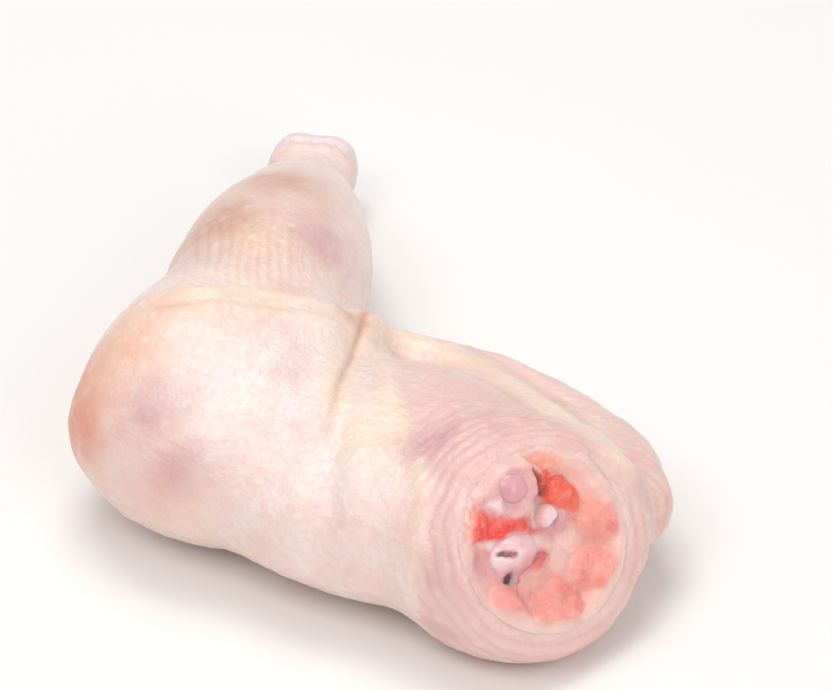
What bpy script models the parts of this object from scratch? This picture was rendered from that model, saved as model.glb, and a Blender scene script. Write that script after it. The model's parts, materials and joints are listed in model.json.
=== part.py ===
# A raw whole chicken leg with its skin on: thigh and drumstick in one piece,
# bent at the knee and lying skin side up. The hip end is cut across, so the
# meat and the end of the thigh bone show there.
#
# Frame: metres, +Z up. The leg rests on Z = 0, with the middle of its bounding
# box above the origin. The hip end points to +X and the drumstick to +Y.
# The sizes and places below are in millimetres, in a working frame whose
# origin is under the middle of the thigh; main() centres the finished leg.

import math

import bmesh
import bpy
import numpy as np
from mathutils import Matrix, Vector

MM = 0.001

# Driving dimensions: the thigh
THIGH_LENGTH = 120.0
THIGH_WIDTH = 70.0
THIGH_HEIGHT = 41.0

# Driving dimensions: the drumstick, from the knee to the hock
KNEE = Vector((-40.0, -5.0, 0.0))
HOCK = Vector((-70.5, 111.5, 0.0))
KNEE_WIDTH = 47.0
WAIST_WIDTH = 43.0
CALF_WIDTH = 44.0
CALF_HEIGHT = 46.0
HOCK_WIDTH = 21.0

# The cut at the hip: its middle, the way it faces, and its open cup
CUT_CENTRE = Vector((53.5, -12.0, 25.0))
CUT_NORMAL = Vector((0.80, -0.32, 0.50)).normalized()
CUT_TRIM = 3.5
CUP_WIDTH = 36.0
CUP_HEIGHT = 37.0
CUP_DEPTH = 3.0
CUP_RISE = 1.5
CUP_REACH = 20.0
MEAT_DEPTH = 12.0
MEAT_BITE = 0.8

# The thigh bone, and the gap round it
HEAD_WIDTH = 10.4
SHAFT_WIDTH = 9.0
BONE_LENGTH = 74.0
BONE_GAP = 0.45

# Valleys in the skin: the line each follows from above, its half width, its depth
KNEE_FURROW = [(-20, 40), (-8, 21), (3, -7), (9, -22), (14, -32)]
KNEE_FURROW_SIZE = (3.6, 2.3)
THIGH_FURROW = [(-4, 24), (16, -1), (33, -22), (37, -32)]
THIGH_FURROW_SIZE = (7.0, 1.8)
FURROW_FLOOR = 12.0
FURROW_FADE = 10.0

# How fine the surfaces are
LEG_VOXEL = 1.5
LEG_PASSES = 22
LEG_TRIANGLES = 7600
BONE_VOXEL = 0.8
BONE_PASSES = 4
BONE_TRIANGLES = 1500
MEAT_VOXEL = 1.2
MEAT_PASSES = 2
MEAT_TRIANGLES = 900

# What the leg rests on
TABLE_SIZE = 400.0
TABLE_DEPTH = 100.0

COLLECTION = "chicken_leg"
CUTTERS = "cutters"

# Directions in the cut: ACROSS runs level over it, and UP climbs it
ACROSS = Vector((0, 0, 1)).cross(CUT_NORMAL).normalized()
UP = CUT_NORMAL.cross(ACROSS).normalized()


def clear_scene():
    for item in list(bpy.data.objects):
        bpy.data.objects.remove(item, do_unlink=True)


def new_collection(name):
    made = bpy.data.collections.new(name)
    bpy.context.scene.collection.children.link(made)
    return made


def add_object(name, mesh, collection):
    item = bpy.data.objects.new(name, mesh)
    collection.objects.link(item)
    return item


def add_cutter(name, mesh, collection):
    item = add_object(name, mesh, collection)
    item.hide_render = True
    item.display_type = "WIRE"
    return item


def to_mesh(shape, name):
    mesh = bpy.data.meshes.new(name)
    shape.to_mesh(mesh)
    shape.free()
    return mesh


def evaluated_mesh(item):
    bpy.context.view_layer.update()
    graph = bpy.context.evaluated_depsgraph_get()
    return bpy.data.meshes.new_from_object(item.evaluated_get(graph))


def apply_modifiers(item):
    finished = evaluated_mesh(item)
    rough = item.data
    item.modifiers.clear()
    item.data = finished
    bpy.data.meshes.remove(rough)


def sphere_mass(place, radii, segments):
    # A unit sphere stretched to three half sizes and put in its place
    shape = bmesh.new()
    bmesh.ops.create_uvsphere(shape, u_segments=segments, v_segments=segments // 2, radius=1.0)
    stretch = Matrix.Diagonal((*[radius * MM for radius in radii], 1.0))
    bmesh.ops.transform(shape, matrix=place @ stretch, verts=shape.verts)
    return to_mesh(shape, "mass")


def mass(centre, radii, turn=0.0):
    # A soft mass that lies level, turned about the vertical by some degrees
    place = Matrix.Translation(Vector(centre) * MM) @ Matrix.Rotation(math.radians(turn), 4, "Z")
    return sphere_mass(place, radii, 40)


def limb(points, collection):
    # A round mass along a line: each point is (x, y, z, radius)
    curve = bpy.data.curves.new("limb", "CURVE")
    curve.dimensions = "3D"
    curve.bevel_depth = MM
    curve.bevel_resolution = 8
    curve.use_fill_caps = True
    curve.resolution_u = 10
    line = curve.splines.new("NURBS")
    line.points.add(len(points) - 1)
    line.order_u = 3
    line.use_endpoint_u = True
    for knot, (x, y, z, radius) in zip(line.points, points):
        knot.co = (x * MM, y * MM, z * MM, 1.0)
        knot.radius = radius
    item = bpy.data.objects.new("limb", curve)
    collection.objects.link(item)
    mesh = evaluated_mesh(item)
    bpy.data.objects.remove(item)
    return mesh


def in_cut(across, up, out):
    # A place in the cut, from its middle
    return CUT_CENTRE + ACROSS * across + UP * up + CUT_NORMAL * out


def cut_frame(across, up, out):
    # A frame whose X and Y lie in the cut, and whose Z leaves the leg
    turn = Matrix((ACROSS, UP, CUT_NORMAL)).transposed().to_4x4()
    return Matrix.Translation(in_cut(across, up, out) * MM) @ turn


def lump(across, up, out, radii):
    # A rounded mass that lies in the cut
    return sphere_mass(cut_frame(across, up, out), radii, 20)


def thigh_masses():
    half = THIGH_WIDTH / 2
    high = THIGH_HEIGHT / 2
    middle = mass((10, 1, high - 1.5), (THIGH_LENGTH * 0.45, half - 1, high))
    hip = mass((42, -5, high + 0.5), (32, half - 5, high + 1))
    hip_underside = mass((46, -10, high - 6), (27, half - 11, high - 3.5))
    knee_side = mass((-28, -7, high + 0.5), (34, half - 11, high + 0.5))
    knee_top = mass((-29, 4, high + 4), (25, half - 5, high))
    inner_bend = mass((-26, 18, high - 1), (26, half - 8, high + 3))
    return [middle, hip, hip_underside, knee_side, knee_top, inner_bend]


def flap_masses(collection):
    # The web of skin and fat behind the thigh, and its rolled rim
    rim = [
        (-19, 41, 20, 5.5),
        (-2, 44, 20, 6.0),
        (17, 44, 18, 6.5),
        (40, 39, 17, 6.5),
        (57, 30, 17, 6.0),
        (65, 17, 19, 5.0),
    ]
    web = mass((25, 24, 14.5), (44, 19, 14.5), turn=-9)
    return [web, limb(rim, collection)]


def drumstick_masses(collection):
    # Each station: share of the way to the hock, bow to the inner side, height, radius
    knee = KNEE_WIDTH / 2
    waist = WAIST_WIDTH / 2
    calf = CALF_WIDTH / 2
    hock = HOCK_WIDTH / 2
    middle = CALF_HEIGHT / 2
    stations = [
        (-0.09, -1.0, middle - 1.0, knee - 8.0),
        (0.00, -0.5, middle + 1.0, knee - 0.5),
        (0.13, 4.5, middle + 1.0, waist + 2.0),
        (0.26, 8.0, middle, waist),
        (0.42, 8.0, middle, calf),
        (0.54, 7.3, middle - 1.5, calf - 1.0),
        (0.665, 6.0, middle - 4.0, calf - 5.0),
        (0.78, 4.0, 15.0, hock + 2.5),
        (0.88, 2.0, 11.3, hock - 1.5),
        (0.98, 0.0, 10.8, hock - 2.0),
    ]
    along = (HOCK - KNEE).normalized()
    inward = along.cross(Vector((0, 0, 1)))
    line = []
    for share, bow, height, radius in stations:
        place = KNEE.lerp(HOCK, share) + inward * bow
        line.append((place.x, place.y, height, radius))
    turn = math.degrees(math.atan2(inward.y, inward.x))
    knobs = []
    for side in (-1, 1):
        centre = KNEE.lerp(HOCK, 0.975) + inward * side * hock * 0.42
        knobs.append(mass((centre.x, centre.y, hock + 0.3), (hock * 0.62, hock * 0.8, hock * 0.95), turn))
    return [limb(line, collection), *knobs]


def bone_masses(collection):
    # The ball and the knobs at the hip, on the shaft that runs to the knee
    head = HEAD_WIDTH / 2
    shaft = SHAFT_WIDTH / 2
    hip = in_cut(-3, 5, -9)
    knee = Vector((CUT_CENTRE.x - BONE_LENGTH, -8, 21))
    middle = hip.lerp(knee, 0.5) + Vector((0, 2, 1.5))
    run = [
        (*hip, shaft + 2),
        (*hip.lerp(middle, 0.3), shaft),
        (*middle, shaft - 0.4),
        (*middle.lerp(knee, 0.75), shaft),
        (*knee, shaft + 1.5),
    ]
    ball = lump(-2.2, 13.5, -1.0, (head, head, head + 1))
    neck = lump(-2.5, 8.0, -6.5, (5.5, 7.5, 6.0))
    small_knob = lump(3.6, 4.5, 0.0, (3.0, 2.8, 3.6))
    large_knob = lump(-7.0, 0.5, -1.5, (6.8, 5.2, 5.5))
    low_knob = lump(-10.5, -4.0, -2.5, (3.6, 3.6, 4.2))
    return [limb(run, collection), ball, neck, small_knob, large_knob, low_knob]


def meat_masses():
    # The muscles that stand up in the cut, round the bone
    upper_right = lump(11.0, 9.0, -3.0, (8.0, 9.5, 5.5))
    upper_left = lump(-11.0, 9.0, -3.0, (5.5, 7.5, 4.4))
    lower_right = lump(11.5, -6.5, -3.0, (7.5, 8.0, 5.5))
    bottom = lump(-0.5, -12.0, -3.0, (10.0, 6.5, 5.5))
    top = lump(2.5, 17.5, -3.0, (8.5, 3.5, 4.0))
    lower_left = lump(-12.5, -7.0, -3.0, (5.0, 7.0, 4.4))
    bed = lump(2.0, 3.0, -4.0, (14.0, 14.0, 2.6))
    return [upper_right, upper_left, lower_right, bottom, top, lower_left, bed]


def wrap(item, voxel):
    skin = item.modifiers.new("wrap", "REMESH")
    skin.mode = "VOXEL"
    skin.voxel_size = voxel * MM


def cut(item, cutter, operation="DIFFERENCE"):
    boolean = item.modifiers.new("cut", "BOOLEAN")
    boolean.operation = operation
    boolean.solver = "EXACT"
    boolean.object = cutter


def fuse(meshes, voxel, passes, collection, trim=None):
    # One skin over several masses, softened so that it bridges their valleys
    joined = bmesh.new()
    for mesh in meshes:
        joined.from_mesh(mesh)
        bpy.data.meshes.remove(mesh)
    item = add_object("body", to_mesh(joined, "body"), collection)
    wrap(item, voxel)
    if trim:
        cut(item, trim)
        wrap(item, voxel)
    soften = item.modifiers.new("soften", "SMOOTH")
    soften.factor = 0.5
    soften.iterations = passes
    smooth = evaluated_mesh(item)
    bpy.data.objects.remove(item)
    return smooth


def thin_out(item, triangles):
    # Fewer faces for the same form
    item.data.calc_loop_triangles()
    reduce = item.modifiers.new("thin_out", "DECIMATE")
    reduce.ratio = min(1.0, triangles / len(item.data.loop_triangles))
    reduce.use_collapse_triangulate = True


def vertex_array(values, key, count):
    flat = np.empty(count * 3)
    values.foreach_get(key, flat)
    return flat.reshape(-1, 3)


def furrow(mesh, line, half_width, depth):
    # Press a valley into the upper skin along a line seen from above
    count = len(mesh.vertices)
    places = vertex_array(mesh.vertices, "co", count)
    normals = vertex_array(mesh.vertex_normals, "vector", count)
    points = np.array(line) * MM
    nearest = np.full(count, np.inf)
    for start, end in zip(points[:-1], points[1:]):
        run = end - start
        along = np.clip(((places[:, :2] - start) @ run) / (run @ run), 0, 1)
        gap = np.linalg.norm(places[:, :2] - start - along[:, None] * run, axis=1)
        nearest = np.minimum(nearest, gap)
    upper = np.clip((places[:, 2] / MM - FURROW_FLOOR) / FURROW_FADE, 0, 1)
    press = depth * MM * np.exp(-((nearest / (half_width * MM)) ** 2)) * upper
    places -= normals * press[:, None]
    mesh.vertices.foreach_set("co", places.ravel())
    mesh.update()


def slab(name, place, size, collection):
    # A box to cut with
    shape = bmesh.new()
    bmesh.ops.create_cube(shape, size=1.0)
    stretch = Matrix.Diagonal((*[side * MM for side in size], 1.0))
    bmesh.ops.transform(shape, matrix=place @ stretch, verts=shape.verts)
    return add_cutter(name, to_mesh(shape, name), collection)


def oval_plug(name, grow, depth, collection):
    # A plug with the outline of the open cup, from its reach outside to a depth
    shape = bmesh.new()
    bmesh.ops.create_cone(shape, cap_ends=True, segments=48, radius1=0.5, radius2=0.5, depth=1.0)
    high = depth + CUP_REACH
    stretch = Matrix.Diagonal(((CUP_WIDTH + grow) * MM, (CUP_HEIGHT + grow) * MM, high * MM, 1.0))
    place = cut_frame(0, CUP_RISE, high / 2 - depth)
    bmesh.ops.transform(shape, matrix=place @ stretch, verts=shape.verts)
    return add_cutter(name, to_mesh(shape, name), collection)


def make_bone(parts, cutters):
    solid = fuse(bone_masses(cutters), BONE_VOXEL, BONE_PASSES, cutters)
    bone = add_object("thigh_bone", solid, parts)
    thin_out(bone, BONE_TRIANGLES)
    apply_modifiers(bone)
    return bone


def make_meat(cutters):
    solid = fuse(meat_masses(), MEAT_VOXEL, MEAT_PASSES, cutters)
    meat = add_cutter("meat", solid, cutters)
    thin_out(meat, MEAT_TRIANGLES)
    cut(meat, oval_plug("meat_outline", MEAT_BITE, MEAT_DEPTH, cutters), "INTERSECT")
    return meat


def make_socket(bone, cutters):
    # The bone, grown by the gap round it
    socket = add_cutter("socket", bone.data.copy(), cutters)
    grow = socket.modifiers.new("grow", "DISPLACE")
    grow.mid_level = 0.0
    grow.strength = BONE_GAP * MM
    return socket


def make_leg(bone, parts, cutters):
    trim_size = (TABLE_SIZE, TABLE_SIZE, TABLE_DEPTH)
    trim = slab("trim", cut_frame(0, 0, TABLE_DEPTH / 2 + CUT_TRIM), trim_size, cutters)
    masses = thigh_masses() + flap_masses(cutters) + drumstick_masses(cutters)
    leg = add_object("leg", fuse(masses, LEG_VOXEL, LEG_PASSES, cutters, trim), parts)
    furrow(leg.data, KNEE_FURROW, *KNEE_FURROW_SIZE)
    furrow(leg.data, THIGH_FURROW, *THIGH_FURROW_SIZE)
    thin_out(leg, LEG_TRIANGLES)
    apply_modifiers(leg)
    cut(leg, oval_plug("cup", 0, CUP_DEPTH, cutters))
    cut(leg, make_meat(cutters), "UNION")
    cut(leg, make_socket(bone, cutters))
    below = Matrix.Translation((0, 0, -TABLE_DEPTH / 2 * MM))
    cut(leg, slab("table", below, trim_size, cutters))
    apply_modifiers(leg)
    return leg


def centre_on_origin(items):
    # Put the middle of the whole bounding box above the origin
    corners = np.concatenate([vertex_array(item.data.vertices, "co", len(item.data.vertices)) for item in items])
    middle = (corners.min(axis=0) + corners.max(axis=0)) / 2
    shift = Matrix.Translation((-middle[0], -middle[1], 0))
    for item in items:
        item.data.transform(shift)


def finish(item, colour, roughness):
    material = bpy.data.materials.new(item.name)
    material.use_nodes = True
    shader = material.node_tree.nodes["Principled BSDF"]
    shader.inputs["Base Color"].default_value = (*colour, 1.0)
    shader.inputs["Roughness"].default_value = roughness
    shader.inputs["Metallic"].default_value = 0.0
    item.data.materials.clear()
    item.data.materials.append(material)
    item.data.shade_smooth()


def main():
    clear_scene()
    parts = new_collection(COLLECTION)
    cutters = new_collection(CUTTERS)
    bone = make_bone(parts, cutters)
    leg = make_leg(bone, parts, cutters)
    centre_on_origin([leg, bone])
    finish(leg, (0.83, 0.62, 0.52), 0.42)
    finish(bone, (0.80, 0.66, 0.66), 0.35)


main()
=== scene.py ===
# %% [markdown]
# A raw chicken leg, skin on
#
# A whole leg is one piece of food: thigh and drumstick, wrapped in one loose skin and
# bent at the knee. Its hip end was cut across, so the muscles, the ball and knobs of the
# thigh bone and the fat under the skin show there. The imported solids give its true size
# and form. This script makes what they leave out: wrinkles, pores, fat, moist skin, meat.

# %% Load the solids
import itertools
import json
import math

import bpy
import numpy as np
from mathutils import Euler, Matrix, Vector, kdtree

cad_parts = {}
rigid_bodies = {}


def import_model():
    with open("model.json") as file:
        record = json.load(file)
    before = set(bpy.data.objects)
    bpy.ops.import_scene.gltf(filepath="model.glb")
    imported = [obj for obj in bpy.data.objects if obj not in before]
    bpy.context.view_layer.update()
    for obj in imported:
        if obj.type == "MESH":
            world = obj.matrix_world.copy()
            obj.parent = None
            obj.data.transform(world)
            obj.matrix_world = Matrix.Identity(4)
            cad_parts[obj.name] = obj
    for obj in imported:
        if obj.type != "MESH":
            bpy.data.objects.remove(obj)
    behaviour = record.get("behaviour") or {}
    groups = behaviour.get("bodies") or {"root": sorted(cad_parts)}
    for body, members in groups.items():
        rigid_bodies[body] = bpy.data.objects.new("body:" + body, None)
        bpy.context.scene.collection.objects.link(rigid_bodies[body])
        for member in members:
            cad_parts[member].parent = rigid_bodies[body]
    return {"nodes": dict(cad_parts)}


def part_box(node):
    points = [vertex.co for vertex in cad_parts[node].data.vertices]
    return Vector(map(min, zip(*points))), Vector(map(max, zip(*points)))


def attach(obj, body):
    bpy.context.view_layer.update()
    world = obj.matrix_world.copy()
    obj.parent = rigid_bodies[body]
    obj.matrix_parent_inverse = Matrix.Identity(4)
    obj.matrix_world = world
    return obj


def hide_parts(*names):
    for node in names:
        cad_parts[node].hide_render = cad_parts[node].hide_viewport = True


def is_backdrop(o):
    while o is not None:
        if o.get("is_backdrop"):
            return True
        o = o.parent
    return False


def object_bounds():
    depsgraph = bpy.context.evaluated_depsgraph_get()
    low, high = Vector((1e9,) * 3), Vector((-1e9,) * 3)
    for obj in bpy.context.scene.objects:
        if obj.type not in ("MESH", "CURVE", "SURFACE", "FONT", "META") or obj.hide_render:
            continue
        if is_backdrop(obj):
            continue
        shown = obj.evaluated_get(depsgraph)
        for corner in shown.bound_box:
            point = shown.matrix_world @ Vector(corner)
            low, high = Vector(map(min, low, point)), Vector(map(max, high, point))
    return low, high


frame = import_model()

MM = 0.001
cad_low, cad_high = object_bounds()
cad_size = [round(side / MM, 1) for side in cad_high - cad_low]
print("Solids:", sorted(frame["nodes"]), "size in mm:", cad_size)

# %% [markdown]
# The working frame
#
# All places below are in millimetres, in the working frame of the solids, whose origin
# lies under the middle of the thigh. The lowest corner of the thigh bone's box is known
# in that frame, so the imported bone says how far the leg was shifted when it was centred.
# The cut at the hip gets axes of its own: across it, up it and out of it.

# %% The working frame and the cut at the hip
BONE_CORNER = np.array([-20.99, -25.21])
bone_low, bone_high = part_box("thigh_bone")
SHIFT = np.array([bone_low.x / MM - BONE_CORNER[0], bone_low.y / MM - BONE_CORNER[1], 0.0])
CUT_CENTRE = np.array([53.5, -12.0, 25.0])
CUT_NORMAL = np.array([0.803, -0.321, 0.502])
ACROSS = np.array([0.371, 0.928, 0.0])
UP = np.array([-0.466, 0.186, 0.865])
CUT_AXES = np.array([ACROSS, UP, CUT_NORMAL])
print("Shift of the working frame in mm:", SHIFT.round(2))


def in_cut(across, up, out):
    # A place in the cut, from its middle, in the working frame
    return CUT_CENTRE + np.array([across, up, out]) @ CUT_AXES


def to_metres(point):
    # A place in the working frame as Blender's own, in metres
    return Vector((np.array(point) + SHIFT) * MM)


def turn_to_cut():
    # The rotation whose X and Y lie in the cut
    return Matrix([list(axis) for axis in CUT_AXES]).transposed().to_euler()


# %% [markdown]
# Small tools for modelling
#
# Blender's operators act on what is selected, so each step starts by choosing one piece.
# The fine relief of skin is not made by hand: it is a field, a number for each vertex
# that moves it in or out, and these helpers read and write the vertices as arrays.

# %% Helpers for pieces
def choose(*pieces):
    # Select these pieces and no other, with the first one active
    bpy.ops.object.select_all(action="DESELECT")
    for piece in pieces:
        piece.select_set(True)
    bpy.context.view_layer.objects.active = pieces[0]


def apply(piece, kind, **settings):
    # Add a modifier, set it and apply it at once
    choose(piece)
    modifier = piece.modifiers.new(kind.lower(), kind)
    for name, value in settings.items():
        setattr(modifier, name, value)
    bpy.ops.object.modifier_apply(modifier=modifier.name)


def read_places(piece):
    flat = np.empty(len(piece.data.vertices) * 3)
    piece.data.vertices.foreach_get("co", flat)
    return flat.reshape(-1, 3) / MM - SHIFT


def write_places(piece, places):
    piece.data.vertices.foreach_set("co", ((places + SHIFT) * MM).ravel())
    piece.data.update()


def read_normals(piece):
    flat = np.empty(len(piece.data.vertices) * 3)
    piece.data.vertex_normals.foreach_get("vector", flat)
    return flat.reshape(-1, 3)


def write_mask(piece, name, values):
    # A value from 0 to 1 for each vertex, for a material to read
    layer = piece.data.attributes.new(name, "FLOAT", "POINT")
    layer.data.foreach_set("value", np.clip(values, 0, 1).astype(np.float32))


def copy_solid(node, name):
    # A solid's mesh is loose triangles, so the doubles of the copy are merged
    piece = bpy.data.objects.new(name, frame["nodes"][node].data.copy())
    bpy.context.scene.collection.objects.link(piece)
    piece.data.materials.clear()
    choose(piece)
    bpy.ops.object.mode_set(mode="EDIT")
    bpy.ops.mesh.select_all(action="SELECT")
    bpy.ops.mesh.remove_doubles(threshold=0.00001)
    bpy.ops.object.mode_set(mode="OBJECT")
    return piece


# %% Helpers for fields
def soft_noise(places, size, seed):
    # Smooth random values from -1 to 1, whose hills are about one size apart
    table = np.random.default_rng(seed).uniform(-1, 1, (32, 32, 32))
    grid = places / size
    cell = np.floor(grid).astype(int)
    ease = (grid - cell) ** 2 * (3 - 2 * (grid - cell))
    total = np.zeros(len(places))
    for corner in itertools.product((0, 1), repeat=3):
        index = (cell + np.array(corner)) % 32
        share = np.prod(np.where(corner, ease, 1 - ease), axis=1)
        total += share * table[index[:, 0], index[:, 1], index[:, 2]]
    return total


def ramp(values, start, end):
    # 0 before the start, 1 after the end, and a soft step between them
    share = np.clip((values - start) / (end - start), 0, 1)
    return share * share * (3 - 2 * share)


def near(values, centre, width):
    # 1 at the centre, falling softly to 0 over about two widths
    return np.exp(-(((values - centre) / width) ** 2))


def cell_edges(points, pitch, seed):
    # How far each point is from the border between cells scattered one to a square
    table = np.random.default_rng(seed).uniform(0, 1, (64, 64, 2))
    grid = points / pitch
    home = np.floor(grid).astype(int)
    first = np.full(len(points), np.inf)
    second = np.full(len(points), np.inf)
    for step in itertools.product((-1, 0, 1), repeat=2):
        square = home + np.array(step)
        centre = square + table[square[:, 0] % 64, square[:, 1] % 64]
        gap = np.linalg.norm(grid - centre, axis=1)
        second = np.minimum(second, np.maximum(first, gap))
        first = np.minimum(first, gap)
    return (second - first) * pitch


def along_line(places, line):
    # Distance to a line, share of the way along it, and the side, seen from above
    points = np.array(line, float)[:, :2]
    lengths = np.linalg.norm(np.diff(points, axis=0), axis=1)
    starts = np.concatenate([[0], np.cumsum(lengths)])
    best = np.full(len(places), np.inf)
    share = np.zeros(len(places))
    side = np.zeros(len(places))
    for start, end, length, begin in zip(points[:-1], points[1:], lengths, starts):
        run = (end - start) / length
        offset = places[:, :2] - start
        step = np.clip(offset @ run, 0, length)
        gap = np.linalg.norm(offset - step[:, None] * run, axis=1)
        closer = gap < best
        best = np.where(closer, gap, best)
        share = np.where(closer, (begin + step) / starts[-1], share)
        side = np.where(closer, np.sign(run[0] * offset[:, 1] - run[1] * offset[:, 0]), side)
    return best, share, side


# %% [markdown]
# The skin's body
#
# The skin of a leg is one closed bag, and the quickest way to one even, fine mesh over
# the whole leg is a voxel remesh of the solids. The bone is grown a little first, so
# that it closes its own socket, and a dish is hollowed at the cut with a stretched
# ball, because the meat in it is made as a piece of its own. Smoothing then takes away
# the facets and rolls the rim of the dish over, as cut skin rolls.

# %% Make the skin's body
BONE_GROWTH = 0.7
SOLID_VOXEL = 1.2
SKIN_VOXEL = 0.70
DISH_SIZE = (18.4, 18.9, 8.0)
DISH_RISE = 1.5
RIM_OUT = 3.5

skin = copy_solid("leg", "leg_skin")
plug = copy_solid("thigh_bone", "plug")
apply(plug, "DISPLACE", strength=BONE_GROWTH * MM, mid_level=0.0)
choose(skin, plug)
bpy.ops.object.join()
bpy.ops.mesh.primitive_uv_sphere_add(
    segments=64,
    ring_count=32,
    radius=1,
    location=to_metres(in_cut(0, DISH_RISE, RIM_OUT)),
    rotation=turn_to_cut(),
    scale=[size * MM for size in DISH_SIZE],
)
scoop = bpy.context.object
apply(skin, "REMESH", mode="VOXEL", voxel_size=SOLID_VOXEL * MM)
apply(skin, "BOOLEAN", operation="DIFFERENCE", solver="EXACT", object=scoop)
bpy.data.objects.remove(scoop)
apply(skin, "REMESH", mode="VOXEL", voxel_size=SKIN_VOXEL * MM)
apply(skin, "SMOOTH", factor=0.5, iterations=20)
print("Skin body:", len(skin.data.polygons), "faces")

# %% [markdown]
# Lines on the skin
#
# Everything that marks the skin follows a few lines seen from above: the crease where
# the drumstick folds over the thigh, the pale band beside it, the fold over the knee and
# the fatty rim of the loose flap. Each is a short list of places, and every vertex then
# gets its distance from each line, which the fields below are made of.

# %% Where the marks lie
CREASE = [(-16, 38), (-12, 30), (-9, 21), (-3, 4), (3, -11), (12, -21)]
BAND = [(-10, 33), (0, 20), (8.3, 6.7), (20.4, -7.7), (31, -19.5), (35, -30)]
KNEE_FOLD = [(-50, 1), (-42.5, 3.3), (-36, 9.4), (-29.3, 14.6), (-22, 19.3), (-16, 23.5)]
FLAP_RIM = [(-15, 39), (1.8, 41), (15.8, 38), (33, 29.5), (50, 20), (61, 12)]
WAIST = np.array([-44, 30, 44])
KNEE_LOW = np.array([-30, -34, 24])
HOCK = np.array([-70.5, 111.5, 10.0])
TO_HOCK = np.array([-0.253, 0.967, 0.0])

places = read_places(skin)
normals = read_normals(skin)
upper = ramp(places[:, 2], 8, 20)
crease_gap, crease_share = along_line(places, CREASE)[:2]
crease_end = ramp(crease_share, 1.0, 0.5)
band_gap, band_share, band_side = along_line(places, BAND)
fold_gap = along_line(places, KNEE_FOLD)[0]
rim_gap = along_line(places, FLAP_RIM)[0]
past_hock = (places - HOCK) @ TO_HOCK + 0.8 * soft_noise(places, 5, 14)
thigh_side = ramp(band_side * band_gap, 0, 4) * ramp(places[:, 0], -26, -8)
print("Vertices on the thigh's side of the band:", int((thigh_side > 0.5).sum()))

# %% Where the dish is
DISH_RADIUS = 18.0

from_cut = (places - CUT_CENTRE) @ CUT_AXES.T
cut_radius = np.hypot(from_cut[:, 0], from_cut[:, 1] - DISH_RISE)
cut_angle = np.arctan2(from_cut[:, 1] - DISH_RISE, from_cut[:, 0])
beyond_dish = np.maximum(cut_radius - DISH_RADIUS, 0)
behind_rim = 0.8 * np.maximum(RIM_OUT - from_cut[:, 2], 0)
cut_gap = np.hypot(beyond_dish, behind_rim)
inside_dish = ramp(cut_radius, 18.4, 17.2) * ramp(from_cut[:, 2], -9.5, -8.0)
outside = 1 - inside_dish
print("Vertices inside the dish:", int((inside_dish > 0.5).sum()))

# %% [markdown]
# Rings and pleats
#
# Skin that is looser than the meat below lies in small folds. Round the cut they are
# rings about 2.6 mm apart, because the skin drew back when it was cut. At the waist, where
# the drumstick bends, they are short pleats along it. A sculptor would brush them in one
# by one. Here each set is a wave whose phase is stirred with noise, so that no fold is
# quite straight or even, and whose height fades where the skin is tight.

# %% Rings round the cut
RING_PITCH = 2.6
RING_HEIGHT = 0.26
RING_EXTRA = 0.14

stir = soft_noise(places, 9, 11) + 0.6 * soft_noise(places, 4, 12)
broken = 0.15 + 0.85 * ramp(soft_noise(places, 7, 13), -0.6, 0.5)
ring_wave = np.sin(2 * math.pi * cut_gap / RING_PITCH + 2.6 * stir)
ring_area = ramp(cut_gap, 0.5, 2.5) * ramp(cut_gap, 34, 14)
ring_area *= (0.3 + 0.7 * thigh_side) * ramp(rim_gap, 3, 7)
ring_height = (RING_HEIGHT + RING_EXTRA * near(cut_gap, 4, 4)) * broken
ring_height *= (0.35 + 0.65 * near(cut_angle, 2.0, 1.4)) * ramp(places[:, 2], 4, 16)
rings = ring_height * ring_wave * ring_area * outside
print("Rings, highest in mm:", rings.max().round(2))

# %% Pleats at the waist
PLEAT_PITCH = 2.3
PLEAT_HEIGHT = 0.26
PLEAT_REACH = 12
PLEAT_ACROSS = np.array([0.86, 0.51, 0.0])

pleat_wave = np.sin(2 * math.pi * (places - WAIST) @ PLEAT_ACROSS / PLEAT_PITCH + 1.6 * stir)
pleat_area = near(np.linalg.norm((places - WAIST) * [0.8, 1.0, 0.6], axis=1), 0, PLEAT_REACH)
pleats = PLEAT_HEIGHT * pleat_wave * pleat_area
print("Pleats, highest in mm:", pleats.max().round(2))

# %% [markdown]
# Creases and rolls
#
# Where two loose stretches of skin meet there is a sharp groove between two soft lips,
# and where skin is doubled or lies on a cord of fat there is a roll. All are ridges or
# grooves along a line, so one short function makes them: it gives a rounded bead of a
# height, a distance from its line and a half width, all in millimetres.

# %% Beads along the lines
GROOVE = (-0.7, 0.0, 0.9)
CREASE_SWELL = (1.3, 0.0, 4.0)
LIPS = (0.15, 3.0, 1.5)
FOLD_GROOVE = (-0.55, 0.0, 1.6)
FOLD_ROLL = (0.3, 3.4, 1.8)
BAND_ROLL = (0.7, 0.0, 2.3)
RIM_ROLL = (0.9, 0.0, 2.8)
RIM_DIP = (-0.7, 5.8, 2.2)
HOCK_ROLL = (0.5, -6.5, 1.6)
HOCK_DIP = (-0.6, -3.8, 1.0)


def bead(gap, height, centre, width):
    # A rounded ridge along a line, or a groove where the height is negative
    return height * near(gap, centre, width)


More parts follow.
